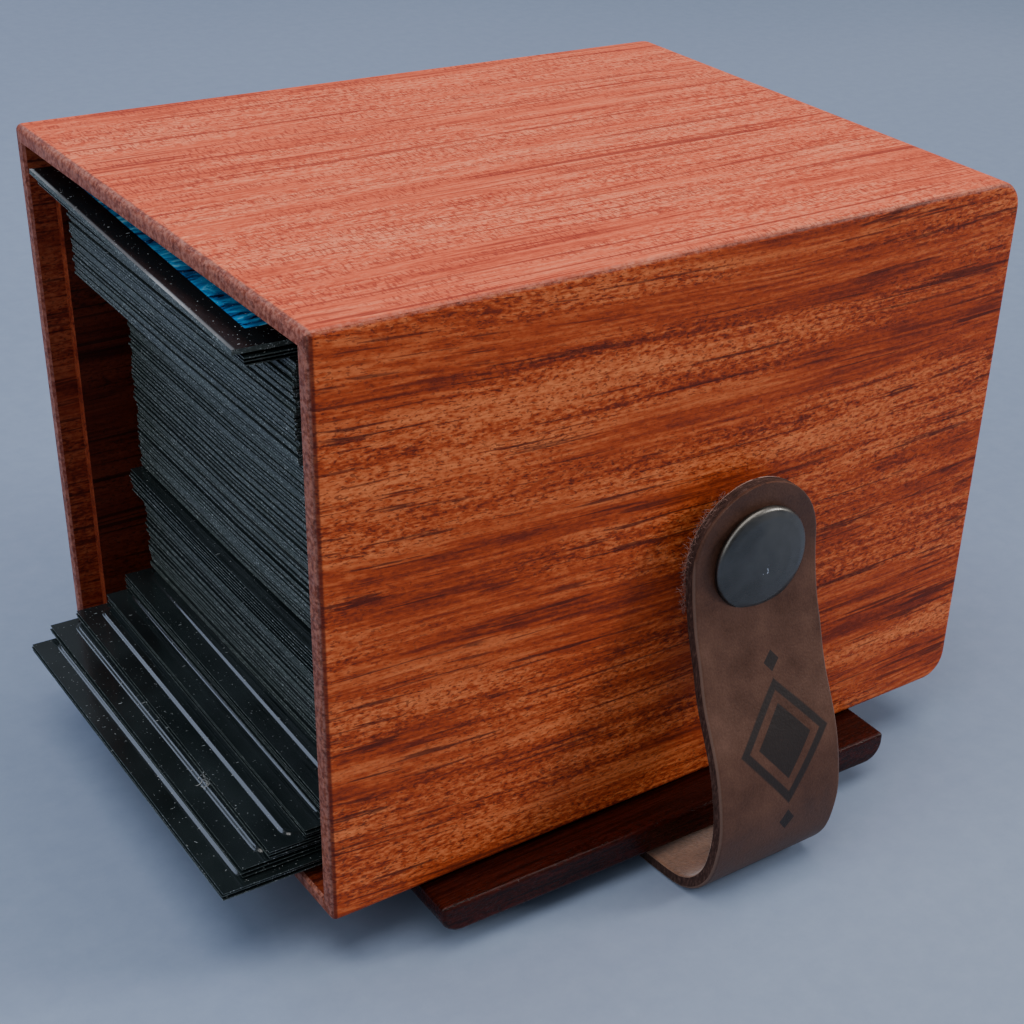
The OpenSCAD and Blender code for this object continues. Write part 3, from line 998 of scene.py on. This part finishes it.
def fibre(length, thick):
    """Short curled fibre: a bent three-sided tube that closes to a point at both ends."""
    steps, bend, lift = 5, 1.6, 0.12

    def middle(t):
        curl = bend * t
        return Vector((math.sin(curl) / bend, (1 - math.cos(curl)) / bend, lift * t * t)) * length

    points = [(0, 0, 0)]
    for k in range(1, steps):
        t = k / steps
        curl = bend * t
        mid = middle(t)
        for i in range(3):
            a = math.tau * i / 3
            points.append(mid + Vector((-math.sin(curl) * math.cos(a), math.cos(curl) * math.cos(a),
                                        math.sin(a))) * thick / 2)
    points.append(middle(1))
    last = len(points) - 1
    faces = [(0, 1 + (i + 1) % 3, 1 + i) for i in range(3)]
    for k in range(steps - 2):
        for i in range(3):
            a, b = 1 + 3 * k + i, 1 + 3 * k + (i + 1) % 3
            faces.append((a, b, b + 3, a + 3))
    faces += [(last - 3 + i, last - 3 + (i + 1) % 3, last) for i in range(3)]
    return outward(new_piece("one_fibre", points, faces))


def scatter_tree():
    """Geometry Nodes tree that strews fibres at random over a host mesh."""
    tree = bpy.data.node_groups.new("strewn_fibres", "GeometryNodeTree")
    face = tree.interface
    face.new_socket("Geometry", in_out="INPUT", socket_type="NodeSocketGeometry")
    for name, kind in (("Fibre", "Object"), ("Per square metre", "Float"), ("Seed", "Int"),
                       ("Finish", "Material")):
        face.new_socket(name, in_out="INPUT", socket_type="NodeSocket" + kind)
    face.new_socket("Geometry", in_out="OUTPUT", socket_type="NodeSocketGeometry")
    add, join = tree.nodes.new, tree.links.new
    given = add("NodeGroupInput").outputs
    spread = add("GeometryNodeDistributePointsOnFaces")
    join(given["Geometry"], spread.inputs["Mesh"])
    join(given["Per square metre"], spread.inputs["Density"])
    join(given["Seed"], spread.inputs["Seed"])
    turn = add("FunctionNodeRandomValue")
    turn.data_type = "FLOAT_VECTOR"
    turn.inputs[1].default_value = (math.tau, math.tau, math.tau)
    join(given["Seed"], turn.inputs["Seed"])
    size = add("FunctionNodeRandomValue")
    size.inputs[2].default_value, size.inputs[3].default_value = 0.35, 1.0
    join(given["Seed"], size.inputs["Seed"])
    shape = add("GeometryNodeObjectInfo")
    join(given["Fibre"], shape.inputs["Object"])
    place = add("GeometryNodeInstanceOnPoints")
    join(spread.outputs["Points"], place.inputs["Points"])
    join(shape.outputs["Geometry"], place.inputs["Instance"])
    join(turn.outputs[0], place.inputs["Rotation"])
    join(size.outputs[1], place.inputs["Scale"])
    real = add("GeometryNodeRealizeInstances")
    join(place.outputs[0], real.inputs[0])
    done = add("GeometryNodeSetMaterial")
    join(real.outputs[0], done.inputs["Geometry"])
    join(given["Finish"], done.inputs["Material"])
    join(done.outputs[0], add("NodeGroupOutput").inputs[0])
    return tree


def fibre_finish(name, pale):
    """Matt fibre between the pale colour and about half of it."""
    s = Finish(name, {"Roughness": 0.9, "Specular IOR Level": 0.2})
    cloud = s.noise(s.place(), (900, 900, 900), detail=1)
    s.feed("Base Color", s.ramp(cloud, [(0.35, tuple(c * 0.55 for c in pale)), (0.65, pale)]))
    return s.material


def strew(tree, name, host, single, amount, seed, finish, body):
    """Fibres over the host mesh, as one piece that rides with the body. The host is used up."""
    loose = host.modifiers.new("strew", "NODES")
    loose.node_group = tree
    set_inputs(loose, {"Fibre": single, "Per square metre": amount, "Seed": seed, "Finish": finish})
    host.name = name
    flatten(host)
    bpy.data.objects.remove(single)
    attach(host, body)


def make_fibres():
    tree = scatter_tree()
    # raw fringe on the strap's open-end edge beside the near cap
    y = CASE_LOW.y - STANDOFF - 0.9 * MM
    outline = []
    for k in range(25):
        a = math.radians(118 + 62 * k / 24)
        outline.append(Vector((STUD.x + STRAP_HALF * math.cos(a), y, STUD.z + STRAP_HALF * math.sin(a))))
    outline += [Vector((STUD.x - STRAP_HALF, y, STUD.z - k * MM)) for k in (2, 4, 6)]
    points = [p + Vector((0, d, 0)) for p in outline for d in (-0.4 * MM, 0.4 * MM)]
    faces = [(2 * k, 2 * k + 1, 2 * k + 3, 2 * k + 2) for k in range(len(outline) - 1)]
    host = new_piece("fringe_host", points, faces)
    strew(tree, "strap_edge_fringe", host, fibre(1.3 * MM, 0.06 * MM), 3.0e7, 3,
          fibre_finish("leather_fibre", (0.30, 0.18, 0.15)), "strap")
    # a wisp of lint on the second fan packet
    low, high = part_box("fan_cards_2")
    at = Vector((low.x + 4.7 * MM, low.y + 21 * MM, high.z + 0.1 * MM))
    rim = [at + Vector((1.1 * MM * math.cos(a), 1.6 * MM * math.sin(a), 0)) for a in (0, 1, 2, 3, 4, 5)]
    host = new_piece("lint_host", rim, [(0, 1, 2, 3, 4, 5)])
    strew(tree, "lint_wisp", host, fibre(1.5 * MM, 0.09 * MM), 1.6e7, 8,
          fibre_finish("pale_lint", (0.55, 0.56, 0.55)), body_of("fan_cards_2"))


make_fibres()

# ---------------------------------------------------------------- table, lights, camera


def make_stage():
    reach = 3.0
    top = -0.03 * MM        # a hair under the strap, so that the two don't share a plane
    table = new_piece("table", [(-reach, -reach, top), (reach, -reach, top), (reach, reach, top),
                                (-reach, reach, top)], [(0, 1, 2, 3)])
    table.data.materials.append(table_top())

    def softbox(name, at, size, power, colour):
        lamp = bpy.data.lights.new(name, "AREA")
        lamp.shape = "RECTANGLE"
        lamp.size, lamp.size_y = size
        lamp.energy = power
        lamp.color = colour
        holder = bpy.data.objects.new(name, lamp)
        holder.location = at
        holder.rotation_euler = (Vector(at) - CASE_MID).to_track_quat("Z", "Y").to_euler()
        bpy.context.scene.collection.objects.link(holder)

    softbox("overhead_softbox", (0.00, -0.10, 1.0), (1.1, 0.8), 9.0, (1.0, 0.97, 0.94))
    softbox("right_fill", (0.85, -0.52, 0.55), (0.26, 0.26), 6.5, (1.0, 0.98, 0.96))
    softbox("left_fill", (-0.90, -0.20, 0.66), (0.9, 0.8), 4.6, (0.92, 0.96, 1.0))
    softbox("back_strip", (-0.25, 0.60, 0.53), (0.46, 0.38), 1.7, (0.62, 0.74, 1.0))
    world = bpy.data.worlds.new("studio")
    world.use_nodes = True
    sky = world.node_tree.nodes["Background"].inputs
    sky["Color"].default_value = (0.62, 0.67, 0.78, 1)
    sky["Strength"].default_value = 0.31
    bpy.context.scene.world = world


CAMERA_AT = Vector((-132.6, -196.2, 160.7)) * MM
CAMERA_ANGLES = (50.95, -31.54, 3.81)       # yaw, pitch and roll in degrees
CAMERA_SHIFT = (-0.1328, 0.1045)
SENSOR_MM, LENS_MM = 36, 63.46


def make_camera():
    yaw, pitch, roll = (math.radians(a) for a in CAMERA_ANGLES)
    sight = Vector((math.cos(pitch) * math.cos(yaw), math.cos(pitch) * math.sin(yaw), math.sin(pitch)))
    right = sight.cross(Vector((0, 0, 1))).normalized()
    above = right.cross(sight)
    side = math.cos(roll) * right + math.sin(roll) * above
    top = -math.sin(roll) * right + math.cos(roll) * above
    lens = bpy.data.cameras.new("camera")
    lens.sensor_width = SENSOR_MM
    lens.lens = LENS_MM
    lens.shift_x, lens.shift_y = CAMERA_SHIFT
    lens.clip_start = 0.01
    camera = bpy.data.objects.new("camera", lens)
    facing = Matrix((side, top, -sight)).transposed().to_4x4()
    camera.matrix_world = Matrix.Translation(CAMERA_AT) @ facing
    bpy.context.scene.collection.objects.link(camera)
    bpy.context.scene.camera = camera


make_stage()
make_camera()
